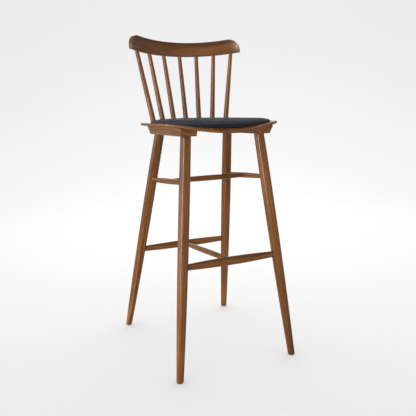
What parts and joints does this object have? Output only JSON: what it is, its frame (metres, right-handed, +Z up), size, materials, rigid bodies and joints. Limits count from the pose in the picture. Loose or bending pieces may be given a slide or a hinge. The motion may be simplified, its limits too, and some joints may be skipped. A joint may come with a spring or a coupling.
{
  "type": "bar stool",
  "caption": "Tall wooden stool with splayed turned legs, a footrest, a dished seat with a thin upholstered pad, and a low curved spindle back under a bent crest rail.",
  "frame": {"origin": "middle of the stool's box at floor level", "axes": "+Z up, the front faces -Y, +X to the right for a viewer who faces the front"},
  "size_m": [0.441, 0.5304, 1.0711],
  "materials": {
    "stained_beech": "satin lacquer over a walnut stain",
    "stained_plywood": "satin lacquer over a walnut stain",
    "raw_plywood": "bare",
    "foam": "matt",
    "leather": "satin, fine grain",
    "zinc_steel": "zinc plated",
    "glide_plastic": "matt"
  },
  "bodies": {
    "root": {"leg_front_right": "stained_beech", "leg_front_left": "stained_beech", "leg_rear_right": "stained_beech", "leg_rear_left": "stained_beech", "footrest_rung": "stained_beech", "rear_rung": "stained_beech", "centre_stretcher": "stained_beech", "side_stretcher_right": "stained_beech", "side_stretcher_left": "stained_beech", "cross_stretcher": "stained_beech", "bearer_right": "stained_beech", "bearer_left": "stained_beech", "crest_rail": "stained_beech", "spindle_1": "stained_beech", "spindle_2": "stained_beech", "spindle_3": "stained_beech", "spindle_4": "stained_beech", "spindle_5": "stained_beech", "spindle_6": "stained_beech", "spindle_7": "stained_beech", "seat": "stained_plywood", "pad_board": "raw_plywood", "pad_foam": "foam", "pad_cover": "leather", "seat_screws": "zinc_steel", "pad_bolts": "zinc_steel", "pad_tee_nuts": "zinc_steel", "glide_front_right": "glide_plastic", "glide_front_left": "glide_plastic", "glide_rear_right": "glide_plastic", "glide_rear_left": "glide_plastic"}
  },
  "joints": []
}
